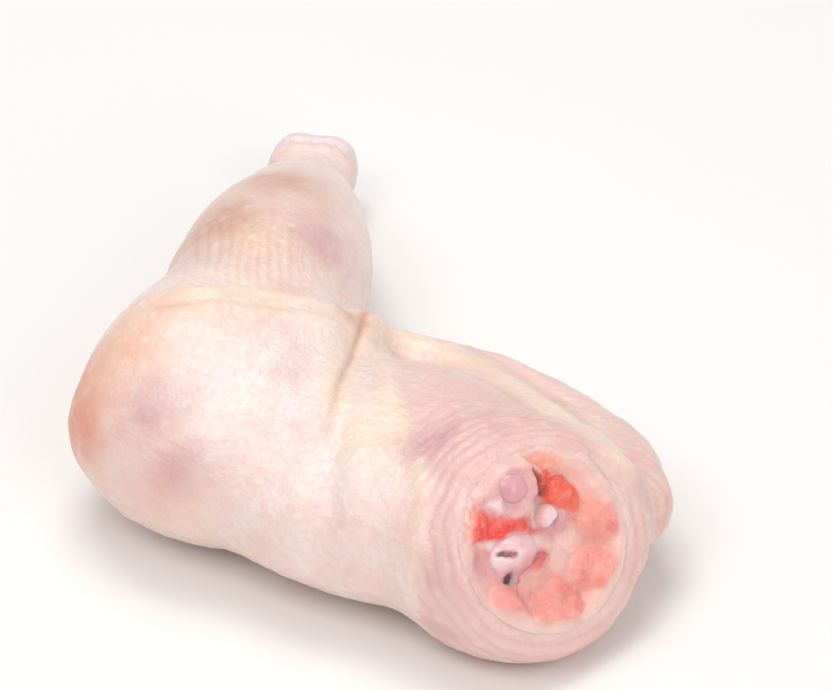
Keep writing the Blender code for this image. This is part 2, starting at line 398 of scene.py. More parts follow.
groove = bead(crease_gap, *GROOVE) * (0.4 + ramp(crease_share, 0.7, 0.3))
crease = (groove + bead(crease_gap, *CREASE_SWELL) + bead(crease_gap, *LIPS)) * crease_end
knee_fold = bead(fold_gap, *FOLD_GROOVE) + bead(fold_gap, *FOLD_ROLL)
band = bead(band_gap, *BAND_ROLL) * ramp(band_share, 0.1, 0.3)
rim_roll = bead(rim_gap, *RIM_ROLL) * (1 + 0.5 * soft_noise(places, 7, 21)) + bead(rim_gap, *RIM_DIP)
hock_lip = bead(past_hock, *HOCK_ROLL) + bead(past_hock, *HOCK_DIP)
marks = (crease + knee_fold + band + rim_roll) * upper + hock_lip
print("Creases and rolls in mm, lowest and highest:", marks.min().round(2), marks.max().round(2))

# %% [markdown]
# The loose surface and the torn rim
#
# Between the folds raw skin is still not smooth: it sags over the muscles in low lumps
# and is finely crumpled like crepe. The rim of the dish was torn as much as cut, so it is
# lifted and pushed outwards by noise, and it lies lower at the upper left.

# %% Move the skin
LUMP_HEIGHT = 0.5
CREPE_HEIGHT = 0.10
RIM_RADIUS = 18.6

lumps = LUMP_HEIGHT * (soft_noise(places, 17, 1) + 0.5 * soft_noise(places, 7, 2))
crepe = 1 - 2 * np.abs(soft_noise(places, 3.4, 3)) ** 0.7
fine = CREPE_HEIGHT * crepe + 0.07 * soft_noise(places, 1.6, 4)
relief = (rings + pleats + marks) * outside
relief += (lumps + fine) * ramp(places[:, 2], 0.5, 6)

dish_edge = near(cut_radius, RIM_RADIUS, 2.0) * near(from_cut[:, 2], RIM_OUT, 3.0)
edge_lift = 1.1 * soft_noise(places, 6, 31) + 0.5 * soft_noise(places, 2.6, 32)
edge_lift -= 0.7 + 1.0 * near(cut_angle, 2.3, 0.9)
edge_push = 2.2 * soft_noise(places, 8, 33) + 1.2 * soft_noise(places, 3, 34)
radial = (from_cut[:, :2] - [0, DISH_RISE]) / np.maximum(cut_radius, 1)[:, None]

places = places + normals * relief[:, None]
places += (dish_edge * edge_lift)[:, None] * CUT_NORMAL
places += (dish_edge * edge_push)[:, None] * (radial @ CUT_AXES[:2])
write_places(skin, places)
print("Relief in mm, lowest and highest:", relief.min().round(2), relief.max().round(2))

# %% [markdown]
# Feather follicles
#
# A plucked bird keeps a small raised pore where each feather stood, about 5 mm apart.
# A sculptor would stamp them one by one. Here they are picked from the skin's own
# vertices by a seeded draw that keeps them apart, and each lifts the skin by up to a
# fifth of a millimetre and whitens it.

# %% Raise the follicles
FOLLICLE_GAP = 4.6
FOLLICLE_WIDTH = 0.75
FOLLICLE_HEIGHT = 0.22


def scatter(points, gap, seed):
    # Points of the set that keep at least a gap between them
    order = np.random.default_rng(seed).permutation(len(points))
    kept = []
    taken = {}
    for index in order:
        point = points[index]
        cell = tuple(np.floor(point / gap).astype(int))
        around = itertools.product(*[(c - 1, c, c + 1) for c in cell])
        rivals = [other for key in around for other in taken.get(key, ())]
        if all(np.linalg.norm(point - other) >= gap for other in rivals):
            taken.setdefault(cell, []).append(point)
            kept.append(point)
    return np.array(kept)


bare = np.flatnonzero((cut_gap > 9) & (inside_dish < 0.1) & (places[:, 2] > 3) & (crease_gap > 3))
pores = scatter(places[bare], FOLLICLE_GAP, 5)
tree = kdtree.KDTree(len(pores))
for index, pore in enumerate(pores):
    tree.insert(pore, index)
tree.balance()
closest_pores = [tree.find(place) for place in places]
pore_gap = np.array([found[2] for found in closest_pores])
strengths = np.random.default_rng(6).uniform(0.1, 1, len(pores))
pore_strength = strengths[[found[1] for found in closest_pores]]
feathered = ramp(soft_noise(places, 22, 7), -0.7, 0.4)
follicle = near(pore_gap, 0, FOLLICLE_WIDTH) * outside * pore_strength * feathered
normals = read_normals(skin)
places = places + normals * (FOLLICLE_HEIGHT * follicle)[:, None]
write_places(skin, places)
choose(skin)
bpy.ops.object.shade_smooth()
print("Follicles:", len(pores))

# %% [markdown]
# Where the skin's colour changes
#
# Chicken skin is nearly clear: its colour is what lies below. Over fat it is cream, over
# thin muscle rosy, over the knee joint lilac. Each is a mask from 0 to 1 on the vertices,
# so the colours follow the folds, and the material mixes them. Some masks are painted light:
# a painted highlight, painted shade in the hollows, creases and troughs, on the lobe's left
# side and under the knee, and painted warm light bounced onto the knee's left side.

# %% Where each tone lies
TONES = {
    # A painted highlight: pale, cool patches where the wet skin catches the light
    "cool_highlight": [((8, -12, 37), 14), ((-14, -8, 40), 15), ((-10, 16, 41), 8)],
    # Painted shade: tan on the lobe's left side, where neighbours shade it, and at the crease's notch
    "tan_shade": [((-54, 40, 40), 15), ((-61, 34, 30), 15), ((-50, 60, 40), 12), ((-14, 30, 36), 4)],
    "lilac": [((-34, -21, 37), 8), ((-32, 48, 40), 8), ((24, -8, 38), 6), ((-24, -30, 30), 7)],
    # Orange-pink of the knee's left side: thin skin with blood, partly painted warm light bounced from
    # beside
    "peach_and_bounce": [((-53, -15, 34), 10), ((-47, -8, 42), 8), ((-43, 2, 46), 6)],
    # Raw, thin skin with blood at the knee's left edge, partly painted warm light bounced from beside
    "raw_edge_bounce_and_shade": [((-61, -12, 26), 12), ((-54, -22, 24), 11)],
    "cream": [
        ((-38, 6, 46), 9),
        ((-31, 19, 44), 7),
        ((-44, 34, 44), 8),
        ((12, -10, 37), 6),
        ((-50, -6, 42), 8),
    ],
}


def strongest_of(ovals):
    # The strongest of some soft round patches, each a centre and a half width
    gaps = [(np.linalg.norm(places - np.array(centre), axis=1), wide) for centre, wide in ovals]
    return np.max([near(gap, 0, wide) for gap, wide in gaps], axis=0)


patchy = soft_noise(places, 13, 41) + 0.4 * soft_noise(places, 6, 43)
spots = soft_noise(places, 4, 42)
uneven = 0.9 + 0.25 * patchy + 0.25 * spots
tones = {name: strongest_of(ovals) * uneven for name, ovals in TONES.items()}
print("Tones:", {name: len(ovals) for name, ovals in TONES.items()})

# %% Add what follows the lines
fat = 0.9 * near(rim_gap, 0, 4.5) * upper
fat += (0.8 * near(crease_gap, 0, 3.5) * crease_end + 0.6 * near(band_gap, 0, 2.5)) * upper
fat += 0.45 * ramp(patchy, 0.0, 0.7) * (1 - thigh_side)
fat += 0.5 * near(fold_gap, 0, 4) * upper + 0.8 * tones["cream"]

rosy_and_fold_shade = (0.70 * thigh_side + 0.10 * ramp(cut_gap, 24, 4)) * (1 - 0.9 * near(rim_gap, 0, 5))
rosy_and_fold_shade *= 0.8 + 0.45 * patchy
rosy_and_fold_shade += 0.25 * ramp(spots, 0.1, 0.8) + 0.3 * ramp(-patchy, 0.1, 0.8)
# Rosier in the troughs of the rings: painted shade in the folds
rosy_and_fold_shade += 0.45 * ramp(ring_wave, -0.1, -1.0) * ring_area

tones["lilac"] += 0.4 * near(cut_gap, 14, 7) * ramp(spots, 0, 0.7) * thigh_side
tones["raw_edge_bounce_and_shade"] *= 0.7 + 0.5 * ramp(patchy + spots, -0.6, 0.6)
# Along the crease's deep start and under the knee this tone is painted shade
tones["raw_edge_bounce_and_shade"] += 0.6 * near(crease_gap, 0, 1.0) * ramp(crease_share, 0.25, 0.05) * upper
tones["raw_edge_bounce_and_shade"] += 0.35 * near(np.linalg.norm(places - KNEE_LOW, axis=1), 0, 9)
# A thin tan line along the crease is painted shade
tones["tan_shade"] += 0.7 * near(crease_gap + 0.3 * spots, 0, 0.8) * upper * crease_end
# Darker in the hollows of the relief and the troughs of the pleats: painted shade
valley_shade = ramp(-relief, 0.3, 1.2) + 0.7 * ramp(-pleat_wave, 0.1, 1.0) * pleat_area
print("Share of the skin over fat:", (fat > 0.5).mean().round(2))

# %% Write the masks
write_mask(skin, "fat", fat * outside)
write_mask(skin, "rosy_and_fold_shade", rosy_and_fold_shade * outside)
for name in ("cool_highlight", "tan_shade", "lilac", "peach_and_bounce", "raw_edge_bounce_and_shade"):
    write_mask(skin, name, tones[name] * outside)
write_mask(skin, "valley_shade", valley_shade * outside)
write_mask(skin, "knuckle", ramp(past_hock, -5.2, -3.8))
write_mask(skin, "follicle", follicle)
write_mask(skin, "under_skin", np.maximum(inside_dish, 0.8 * dish_edge))
print("Masks on the skin:", [layer.name for layer in skin.data.attributes if layer.data_type == "FLOAT"])

# %% [markdown]
# The meat in the cut
#
# The cut goes through several muscles, each in its own silvery wrapping, with fat and
# loose film between them. They bulge a little, because meat draws back less than its
# wrapping. Seen from outside this is a shallow landscape in the dish of skin, so it is
# made as one: a fine grid in the plane of the cut, raised by a rounded hill for each
# muscle, and then given a thickness. Its border rises to the rim of the skin, which is
# found by looking down on the skin along the cut's axis, so fat and skin meet without a
# step. Colours are laid on in the same plane.

# %% Make the meat's grid
MEAT_SIZE = 42.0
MEAT_EDGE = (20.4, 20.8)
MEAT_PITCH = 0.28
MEAT_THICKNESS = 3.0

bpy.ops.object.select_all(action="DESELECT")
bpy.ops.mesh.primitive_grid_add(
    x_subdivisions=int(MEAT_SIZE / MEAT_PITCH),
    y_subdivisions=int(MEAT_SIZE / MEAT_PITCH),
    size=MEAT_SIZE * MM,
    location=to_metres(in_cut(0, DISH_RISE, 0)),
    rotation=turn_to_cut(),
)
meat = bpy.context.object
meat.name = "cut_meat"
bpy.ops.object.transform_apply(location=True, rotation=True, scale=True)
flat_places = (read_places(meat) - CUT_CENTRE) @ CUT_AXES.T
too_far = np.hypot(flat_places[:, 0] / MEAT_EDGE[0], (flat_places[:, 1] - DISH_RISE) / MEAT_EDGE[1]) > 1
bpy.ops.object.mode_set(mode="EDIT")
bpy.ops.mesh.select_mode(type="VERT")
bpy.ops.mesh.select_all(action="DESELECT")
bpy.ops.object.mode_set(mode="OBJECT")
meat.data.vertices.foreach_set("select", too_far)
bpy.ops.object.mode_set(mode="EDIT")
bpy.ops.mesh.delete(type="VERT")
bpy.ops.object.mode_set(mode="OBJECT")
print("Meat grid:", len(meat.data.polygons), "faces")

# %% Find the rim of the skin
RIM_ANGLES = np.radians(np.arange(-180, 180, 5))
RIM_REACH = np.arange(15.0, 20.5, 0.4)
LOOK_FROM = 30.0


def skin_height(across, up):
    # How far the skin reaches out of the cut's plane at a place in it
    eye = to_metres(in_cut(across, up, LOOK_FROM))
    hit, place, normal, face = skin.ray_cast(eye, Vector(-CUT_NORMAL))
    return LOOK_FROM - (place - eye).length / MM if hit else -LOOK_FROM


rim_heights = []
rim_radii = []
for angle in RIM_ANGLES:
    heights = [skin_height(r * math.cos(angle), r * math.sin(angle) + DISH_RISE) for r in RIM_REACH]
    rim_heights.append(max(heights))
    rim_radii.append(RIM_REACH[int(np.argmax(heights))])
print("Rim's height, lowest and highest in mm:", round(min(rim_heights), 1), round(max(rim_heights), 1))
print("Rim's radius, least and most in mm:", round(min(rim_radii), 1), round(max(rim_radii), 1))

# %% [markdown]
# Muscles, film and gristle in relief
#
# A muscle in the cut is an oval hill, set by its middle, its half sizes, its turn in
# degrees and its height. The places are stirred with noise first, so no oval is regular.
# The film that wraps the ball of the bone and the knobs is a mound with the ball
# standing out of it. A narrow slit and a small pit go the other way.

# %% Places in the cut
HILLS = [
    ((8.2, 7.4), (5.6, 3.8), -46, 2.3),
    ((5.9, 2.8), (2.4, 2.6), 20, 2.0),
    ((6.8, 15.6), (5.0, 3.9), -35, 1.6),
    ((-13.2, 9.6), (3.6, 3.8), -30, 2.0),
    ((-6.6, 6.3), (6.4, 2.6), -18, 1.8),
    ((14.8, -1.0), (5.0, 4.2), -20, 2.0),
    ((7.6, -2.2), (3.6, 5.2), 10, 1.0),
    ((10.0, -10.0), (6.6, 5.2), -30, 2.4),
    ((-2.0, -12.6), (7.4, 4.6), 5, 2.4),
    ((-12.4, -9.2), (4.2, 5.0), 20, 2.0),
    ((-2.2, -3.8), (3.0, 2.2), 10, 1.2),
]
SLIT = [(2.0, 15.6), (3.1, 13.0), (4.3, 10.2)]
BALL = (-2.6, 13.6)
KNOBS = ((-6.8, 0.4), (6.4, 4.6), 12)
PIT = ((-9.6, -4.2), (1.9, 1.3), -15)


def oval_distance(places_in_cut, centre, half_sizes, turn):
    # 0 at an oval's middle and 1 on its outline, seen square to the cut
    offset = places_in_cut[:, :2] - np.array(centre)
    angle = math.radians(turn)
    along = offset[:, 0] * math.cos(angle) + offset[:, 1] * math.sin(angle)
    beside = offset[:, 1] * math.cos(angle) - offset[:, 0] * math.sin(angle)
    return np.hypot(along / half_sizes[0], beside / half_sizes[1])


meat_cut = (read_places(meat) - CUT_CENTRE) @ CUT_AXES.T
wander = np.stack([
    1.0 * soft_noise(meat_cut, 5, 51) + 0.5 * soft_noise(meat_cut, 1.8, 54),
    1.0 * soft_noise(meat_cut, 5, 52) + 0.5 * soft_noise(meat_cut, 1.8, 55),
    np.zeros(len(meat_cut)),
], axis=1)
stirred = meat_cut + wander
meat_radius = np.hypot(meat_cut[:, 0], meat_cut[:, 1] - DISH_RISE)
meat_angle = np.arctan2(meat_cut[:, 1] - DISH_RISE, meat_cut[:, 0])
rim_height = np.interp(meat_angle, RIM_ANGLES, rim_heights, period=2 * math.pi)
rim_radius = np.interp(meat_angle, RIM_ANGLES, rim_radii, period=2 * math.pi)
ragged = meat_radius + 1.2 * soft_noise(meat_cut, 6, 64) + 0.7 * soft_noise(meat_cut, 2.2, 65)
inner = 1 - ramp(ragged, rim_radius - 3.0, rim_radius - 1.2)
print("Vertices well inside the rim:", int((inner > 0.5).sum()))

# %% Raise the muscles and the film
FILM_HEIGHT = 3.6
FILM_SLOPE = 0.25
FILM_LIMITS = (2.6, 4.8)
BED_HEIGHT = 0.2
SLIT_DEPTH = 2.0
PIT_DEPTH = 1.5
BUNDLE_PITCH = 1.8
BUNDLE_DEPTH = 0.24
RIPPLE_PITCH = 2.3
RIPPLE_HEIGHT = 0.22

hill_height = np.zeros(len(meat_cut))
for centre, half_sizes, turn, height in HILLS:
    dome = np.clip(1 - oval_distance(stirred, centre, half_sizes, turn) ** 2, 0, 1) ** 0.7
    hill_height = np.maximum(hill_height, height * dome)
bundle_edge = near(cell_edges(stirred[:, :2], BUNDLE_PITCH, 66), 0, 0.24) * inner
muscles = hill_height * inner - BUNDLE_DEPTH * bundle_edge * ramp(hill_height, 0.2, 0.9)

ball_gap = np.hypot(stirred[:, 0] - BALL[0], stirred[:, 1] - BALL[1])
film_edge = ball_gap + 0.8 * soft_noise(meat_cut, 2.6, 72)
film_height = np.clip(FILM_HEIGHT + FILM_SLOPE * (meat_cut[:, 0] - BALL[0]), *FILM_LIMITS)
knob_film = 0.5 * ramp(oval_distance(stirred, *KNOBS), 1.7, 0.8)
mound = np.maximum(film_height * ramp(film_edge, 9.5, 4.2), knob_film)
ripple = np.sin(2 * math.pi * ball_gap / RIPPLE_PITCH + 1.5 * soft_noise(meat_cut, 4, 71))
ripple_area = ramp(ball_gap, 5.5, 7.5) * ramp(meat_cut[:, 1], 5, 12) * ramp(meat_cut[:, 0], 5, -3)
ripples = RIPPLE_HEIGHT * ripple * ripple_area + 0.12 * soft_noise(meat_cut, 1.1, 62)

slit_gap, slit_share = along_line(meat_cut + 0.5 * wander, SLIT)[:2]
slit = near(slit_gap, 0, 0.35 + 0.85 * slit_share)
pit = ramp(oval_distance(stirred, *PIT), 1.25, 0.5)
cuts = -SLIT_DEPTH * slit - PIT_DEPTH * pit
print("Muscles, highest in mm:", muscles.max().round(2), "film:", mound.max().round(2))

# %% [markdown]
# Where meat meets skin
#
# The grid's border has to lie on the skin as a lip of fat does. So the meat's own level
# climbs to the rim's height, over the rim it follows the skin found by the rays, and
# past the rim it dives under it, which hides the border for good.

# %% Join the meat to the rim
LIP_GAP = 0.25
RIM_PASSES = 7

border = np.flatnonzero(meat_radius > rim_radius.min() - 3)
skin_below = np.full(len(meat_cut), -LOOK_FROM)
skin_below[border] = [skin_height(across, up) for across, up in meat_cut[border, :2]]
rise = ramp(ragged, rim_radius - 6.5, rim_radius - 1.0)
inner_level = BED_HEIGHT + mound + 0.3 * soft_noise(meat_cut, 3.4, 61)
level = inner_level * (1 - rise) + (rim_height + 0.15) * rise
meat_height = np.maximum(level, mound) + ripples + muscles + cuts

dive = ramp(meat_radius + 0.8 * soft_noise(meat_cut, 4, 67), rim_radius - 0.4, rim_radius + 1.4)
over_rim = ramp(meat_radius, rim_radius - 2.2, rim_radius - 0.6)
lying = skin_below + LIP_GAP - 0.75 * dive
lying -= 2.0 * ramp(meat_radius, rim_radius + 1.2, rim_radius + 2.4)
on_rim = np.maximum(lying, meat_height * (1 - dive) + lying * dive)
meat_height = meat_height * (1 - over_rim) + on_rim * over_rim
meat_cut[:, 2] = meat_height
write_places(meat, CUT_CENTRE + meat_cut @ CUT_AXES)

rim_group = meat.vertex_groups.new(name="rim")
rim_group.add(border.tolist(), 1.0, "REPLACE")
apply(meat, "SMOOTH", factor=0.5, iterations=2)
apply(meat, "SMOOTH", factor=0.5, iterations=RIM_PASSES, vertex_group="rim")
meat.vertex_groups.clear()
print("Meat's height in mm, lowest and highest:", meat_height.min().round(2), meat_height.max().round(2))

# %% [markdown]
# Colours in the cut
#
# Young muscle is salmon, worked muscle red, film lilac over gristle and nearly white over
# bone, and fat pale. Each colour is a mask made of a few ovals, laid on the stirred
# places like the hills. Two muscles have a clear edge, and the rest fade into the film.

# %% Lay the meat's colours
CLEAR_EDGE = ("orange", "red")
TO_THE_RIM = ("ball_film", "flesh", "purple")
PATCHES = {
    "pale": [((4, 2), (9, 10), 0), ((-8.5, 15.5), (3, 5), 40), ((1.5, 8.5), (4, 4), 0)],
    "flesh": [((5.6, 15.8), (6.2, 4.6), -40), ((-14.5, 12.8), (4.0, 4.0), 0), ((11, 3), (4, 4), 0)],
    "salmon": [
        ((14.0, -1.0), (5.2, 4.4), -20),
        ((10, -10), (6.9, 5.5), -30),
        ((-2, -12.6), (7.8, 5.0), 5),
        ((-12.4, -9.2), (4.6, 5.4), 20),
    ],
    "orange": [((8.2, 7.6), (5.4, 3.4), -46), ((5.4, 12.6), (3.4, 2.0), -50)],
    "red": [((-13.4, 9.8), (3.8, 4.4), -35), ((-8.0, 6.9), (5.8, 2.9), -22), ((-2.2, 4.6), (3.8, 1.8), -15)],
    "rose": [((-1.6, -2.8), (2.8, 1.9), 10), ((0.6, 3.4), (2.2, 1.6), 0)],
    "ball_film": [((-4.4, 14.0), (6.2, 5.4), -10), ((0.8, 11.0), (2.6, 3.0), 0)],
    "purple": [((4.6, 2.2), (2.8, 2.4), 20), ((1.8, 9.6), (2.2, 2.8), 20), ((-14.4, 0.4), (3.4, 3.0), 0)],
    "white": [((-6.6, 3.0), (7.0, 1.5), -15), ((-9.2, 15.0), (1.6, 4.6), 25), ((2.2, 5.4), (2.6, 2.2), 0)],
}

near_rim = 1 - ramp(ragged, rim_radius - 1.6, rim_radius + 0.4)
for name, ovals in PATCHES.items():
    closest = np.min([oval_distance(stirred, *oval) for oval in ovals], axis=0)
    start, end = (1.15, 0.85) if name in CLEAR_EDGE else (1.4, 0.5)
    area = near_rim if name in TO_THE_RIM else inner
    write_mask(meat, name, ramp(closest, start, end) * area)
print("Patches:", sum(len(ovals) for ovals in PATCHES.values()))

# %% Lay film, fat, blood and painted shade between them
hill_edge = near(hill_height, 0.30, 0.30) * inner * ramp(soft_noise(meat_cut, 4, 70), -0.4, 0.4)
collar = near(ball_gap, 5.2, 1.5)
loose_film = ramp(soft_noise(meat_cut, 2.4, 63), 0.3, 0.9)
blood = ramp(soft_noise(meat_cut, 3.2, 68) + 0.5 * soft_noise(meat_cut, 1.2, 69), 0.3, 0.9) * inner
edge_fat = ramp(ragged, rim_radius - 5.0, rim_radius - 1.5) * (1 - 0.6 * near(ball_gap, 0, 7))
# Darker in the troughs of the ripples and along the groove where meat meets the rim: painted shade
hollow_shade = ramp(-ripple, 0.1, 1.0) * ripple_area + 0.6 * near(ragged, rim_radius - 1.4, 0.5)
write_mask(meat, "film", 0.4 * collar + 0.35 * loose_film)
write_mask(meat, "seam", hill_edge + 0.25 * bundle_edge)
write_mask(meat, "blood", blood)
# The pit and the slit are painted nearly black-red: painted shade in these recesses
write_mask(meat, "pit", pit)
write_mask(meat, "dark", slit)
write_mask(meat, "edge_fat", edge_fat)
write_mask(meat, "hollow_shade", hollow_shade)
print("Masks on the meat:", [layer.name for layer in meat.data.attributes if layer.data_type == "FLOAT"])

# %% Give the meat its thickness
choose(meat)
bpy.ops.object.mode_set(mode="EDIT")
bpy.ops.mesh.select_all(action="SELECT")
bpy.ops.mesh.extrude_region_move(
    TRANSFORM_OT_translate={"value": tuple(-CUT_NORMAL * MEAT_THICKNESS * MM)},
)
bpy.ops.mesh.select_all(action="SELECT")
bpy.ops.mesh.normals_make_consistent(inside=False)
bpy.ops.object.mode_set(mode="OBJECT")
bpy.ops.object.shade_smooth()
print("Meat:", len(meat.data.polygons), "faces")

# %% [markdown]
# The end of the thigh bone
#
# The ball is capped with smooth lilac gristle, and the knobs beside it are white gristle
# that was nicked by the knife, with dark holes where the marrow shows. The bone's solid
# already has the form, so a copy is remeshed finer and the holes are pressed into it.

# %% Make the bone
BONE_VOXEL = 0.40
BALL_CENTRE = np.array([-2.2, 13.5, -1.0])
HOLES = [
    ((-10.6, 2.2), (1.4, 0.7), 0.5),
    ((-9.6, 1.6), (1.5, 0.8), 0.6),
    ((-8.6, 1.0), (1.4, 0.9), 0.6),
    ((-10.7, -3.9), (1.7, 1.4), 1.3),
    ((-2.2, -2.9), (1.6, 1.1), 0.9),
    ((4.9, 2.2), (1.6, 1.2), 1.2),
]

bone = copy_solid("thigh_bone", "hip_bone")
apply(bone, "REMESH", mode="VOXEL", voxel_size=BONE_VOXEL * MM)
apply(bone, "SMOOTH", factor=0.5, iterations=8)
bone_places = read_places(bone)
bone_normals = read_normals(bone)
bone_cut = (bone_places - CUT_CENTRE) @ CUT_AXES.T
front = ramp(bone_cut[:, 2], -6, -3)
hole = np.zeros(len(bone_places))
bone_relief = 0.20 * soft_noise(bone_places, 2.2, 71) + 0.40 * soft_noise(bone_places, 5, 72)
for (hole_across, hole_up), (half_width, half_height), depth in HOLES:
    one_hole = near(bone_cut[:, 0], hole_across, half_width) * front
    one_hole *= near(bone_cut[:, 1], hole_up, half_height)
    hole = np.maximum(hole, one_hole)
    bone_relief -= depth * one_hole
ball = ramp(np.linalg.norm(bone_cut - BALL_CENTRE, axis=1), 7.6, 6.2)
marrow = near(bone_cut[:, 0], -3.5, 4.0) * near(bone_cut[:, 1], -3.0, 2.4) * front
low_side = ramp(bone_cut[:, 1] + 0.8 * soft_noise(bone_places, 3, 74), 0.8, -3.0)
low_side *= ramp(bone_cut[:, 0], 0, -3)
write_places(bone, bone_places + bone_normals * bone_relief[:, None])
write_mask(bone, "ball", ball)
write_mask(bone, "lilac", low_side)
write_mask(bone, "hole", ramp(hole, 0.25, 0.8))
write_mask(bone, "marrow", marrow * (0.7 + 0.6 * soft_noise(bone_places, 2, 73)))
write_mask(bone, "shaft", ramp(bone_cut[:, 2], -3.5, -7))
choose(bone)
bpy.ops.object.shade_smooth()
print("Bone:", len(bone.data.polygons), "faces,", len(HOLES), "holes")

# %% [markdown]
# Materials
#
# Raw skin, meat and gristle are all wet and let light in. Light that enters comes out
# redder a millimetre or two away, which is subsurface scattering with a longer radius
# for red. A thin film of juice over them is the coat. IOR is 1.38 to 1.45, as for
# water-rich tissue, and no part is metal.

# %% Helpers for materials
def linear(colour):
    # An sRGB hex colour as linear red, green, blue and alpha
    parts = [int(colour[place:place + 2], 16) / 255 for place in (1, 3, 5)]
    return [part / 12.92 if part <= 0.04045 else ((part + 0.055) / 1.055) ** 2.4 for part in parts] + [1.0]


def add_node(tree, kind, settings, inputs):
    # A node with its settings, and its inputs as values or as other nodes' outputs
    made = tree.nodes.new(kind)
    for name, value in settings.items():
        setattr(made, name, value)
    for key, value in inputs.items():
        if isinstance(value, bpy.types.NodeSocket):
            tree.links.new(value, made.inputs[key])
        else:
            made.inputs[key].default_value = value
    return made


def new_material(name):
    # A material with its node tree and its shader
    material = bpy.data.materials.new(name)
    material.use_nodes = True
    tree = material.node_tree
    return material, tree, tree.nodes["Principled BSDF"]


def blend_colour(tree, share, low, high):
    # The low colour where the share is 0 and the high one where it is 1
    return add_node(tree, "ShaderNodeMix", {"data_type": "RGBA"}, {0: share, 6: low, 7: high}).outputs[2]


def layered_colour(tree, base, layers):
    # Lay colours over a base, each where its mask says and as strong as it says
    colour = base
    for name, tint, strength in layers:
        mask = add_node(tree, "ShaderNodeAttribute", {"attribute_name": name}, {})
        share = add_node(tree, "ShaderNodeMath", {"operation": "MULTIPLY"},
                         {0: mask.outputs["Fac"], 1: strength})
        colour = blend_colour(tree, share.outputs[0], colour, linear(tint))
    return colour


def per_metre(size_mm):
    # A texture's scale for a pattern of a real size
    return 1000.0 / size_mm


# %% [markdown]
# Chicken skin
#
# Raw skin, scalded and plucked, is nearly clear and lies on white and yellow fat. Its
# gloss is soft, because it is moist and crumpled at once. A base of two creams is laid
# over with the masks, then veins and mottling are mixed in, and two bumps roughen it.

# %% Skin material
def make_skin_material():
    material, tree, shader = new_material("raw_chicken_skin")
    where = add_node(tree, "ShaderNodeTexCoord", {}, {}).outputs["Object"]

    # Clouds of more and less fat, about 16 mm apart
    clouds = add_node(tree, "ShaderNodeTexNoise", {},
                      {"Vector": where, "Scale": per_metre(16), "Detail": 3.0})
    cloud_share = add_node(tree, "ShaderNodeMapRange", {}, {0: clouds.outputs["Fac"], 1: 0.35, 2: 0.65})
    base = blend_colour(tree, cloud_share.outputs[0], linear("#f5e3dc"), linear("#f3d8d0"))
    layers = [
        # The cool tone is a painted highlight
        ("cool_highlight", "#f1e8e8", 0.70),
        ("fat", "#f6e0c6", 0.80),
        # Rosy over thin muscle, and painted shade in the rings' troughs
        ("rosy_and_fold_shade", "#e4b1aa", 0.75),
        # The tan tone is painted shade
        ("tan_shade", "#d0a18a", 0.85),
        # Peach: thin skin with blood, partly painted warm bounced light
        ("peach_and_bounce", "#eeb091", 0.60),
        ("lilac", "#c9919c", 0.60),
        # Raw edge: thin skin with blood, plus painted bounced light and painted shade
        ("raw_edge_bounce_and_shade", "#e88d72", 0.80),
        # Painted shade in the valleys
        ("valley_shade", "#dfa491", 0.45),
        ("follicle", "#fdf0e4", 0.55),
        ("under_skin", "#f5d0c6", 0.9),
        ("knuckle", "#eddcdd", 0.8),
    ]
    colour = layered_colour(tree, base, layers)

    # Faint veins, a net about 13 mm wide, bent by up to 6 mm
    warp = add_node(tree, "ShaderNodeTexNoise", {}, {"Vector": where, "Scale": per_metre(5), "Detail": 2.0})
    bent = add_node(tree, "ShaderNodeVectorMath", {"operation": "MULTIPLY_ADD"},
                    {0: warp.outputs["Color"], 1: (0.006, 0.006, 0.006), 2: where})
    vein = add_node(tree, "ShaderNodeTexVoronoi", {"feature": "DISTANCE_TO_EDGE"},
                    {"Vector": bent.outputs[0], "Scale": per_metre(13)})
    vein_line = add_node(tree, "ShaderNodeMapRange", {},
                         {0: vein.outputs["Distance"], 1: 0.05, 2: 0.0, 3: 0.0, 4: 0.07})
    colour = blend_colour(tree, vein_line.outputs[0], colour, linear("#d98f8a"))

    # Mottling, and a crepe-like bump, both about 1.6 mm apart
    mottle = add_node(tree, "ShaderNodeTexNoise", {},
                      {"Vector": where, "Scale": per_metre(1.6), "Detail": 2.0})
    mottle_share = add_node(tree, "ShaderNodeMapRange", {},
                            {0: mottle.outputs["Fac"], 1: 0.4, 2: 0.7, 3: 0.0, 4: 0.34})
    colour = blend_colour(tree, mottle_share.outputs[0], colour, linear("#ecc4bc"))
    tree.links.new(colour, shader.inputs["Base Color"])

    # Skin cells are too small to see, so the grain is drawn 0.9 mm wide
    grain = add_node(tree, "ShaderNodeTexVoronoi", {"feature": "SMOOTH_F1"},
                     {"Vector": where, "Scale": per_metre(0.9), "Smoothness": 0.4})
    rough = add_node(tree, "ShaderNodeMapRange", {},
                     {0: clouds.outputs["Fac"], 1: 0.3, 2: 0.7, 3: 0.36, 4: 0.50})
    tree.links.new(rough.outputs[0], shader.inputs["Roughness"])
    grain_bump = add_node(tree, "ShaderNodeBump", {},
                          {"Strength": 0.30, "Distance": 0.0003, "Height": grain.outputs["Distance"]})
    crepe_bump = add_node(tree, "ShaderNodeBump", {}, {
        "Strength": 0.50,
        "Distance": 0.0007,
        "Height": mottle.outputs["Fac"],
        "Normal": grain_bump.outputs[0],
    })
    tree.links.new(crepe_bump.outputs[0], shader.inputs["Normal"])
    tree.links.new(crepe_bump.outputs[0], shader.inputs["Coat Normal"])

    # Light goes about 2 mm deep, and a thin film of juice lies on top
    shader.inputs["IOR"].default_value = 1.42
    shader.inputs["Subsurface Weight"].default_value = 0.40
    shader.inputs["Subsurface Radius"].default_value = (1.0, 0.50, 0.35)
    shader.inputs["Subsurface Scale"].default_value = 0.0018
    shader.inputs["Coat Weight"].default_value = 0.45
    shader.inputs["Coat Roughness"].default_value = 0.24
    shader.inputs["Coat IOR"].default_value = 1.34
    return material


skin.data.materials.append(make_skin_material())
print("Skin:", skin.data.materials[0].name)
